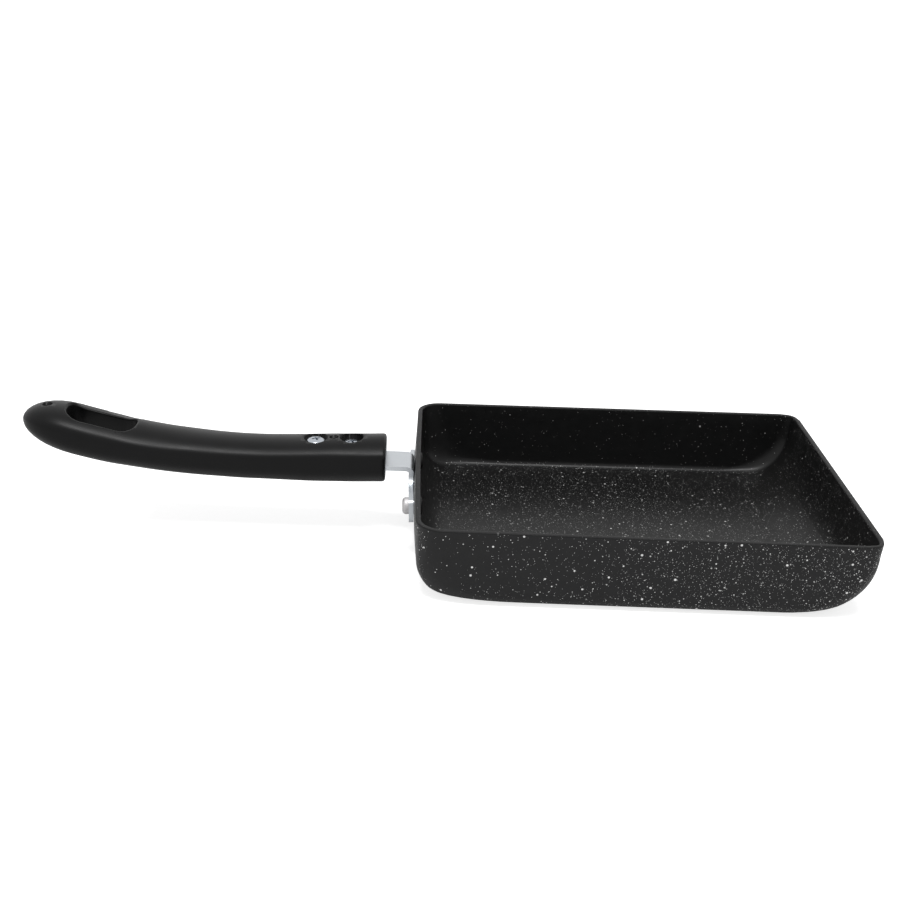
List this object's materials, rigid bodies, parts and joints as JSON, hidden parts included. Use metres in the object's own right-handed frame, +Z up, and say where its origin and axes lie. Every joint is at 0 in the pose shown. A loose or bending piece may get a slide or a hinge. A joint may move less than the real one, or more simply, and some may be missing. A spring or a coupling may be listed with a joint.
{
  "type": "tamagoyaki pan",
  "caption": "Rectangular rolled-omelette pan with low speckled non-stick walls, a sloping front wall and a curved bakelite handle on a riveted T bracket.",
  "frame": {"origin": "middle of the rim's outline, in the plane of the flat underside that the pan stands on", "axes": "+X from the handle towards the sloping front wall, +Y to the left of someone who holds the handle and looks along +X, +Z up through the cavity"},
  "size_m": [0.3544, 0.147, 0.0529],
  "materials": {
    "coated_aluminium": "black non-stick coating with fine white and grey speckles, satin",
    "bakelite": "black phenolic moulding, soft satin gloss",
    "zinc_plate": "bright zinc plating with a faint blue cast",
    "rivet_aluminium": "bare pressed aluminium, satin"
  },
  "bodies": {
    "root": {"pan_body": "coated_aluminium", "bracket": "zinc_plate", "rivet_near": "rivet_aluminium", "rivet_far": "rivet_aluminium", "handle": "bakelite", "screw_front": "zinc_plate", "screw_rear": "zinc_plate"}
  },
  "joints": []
}
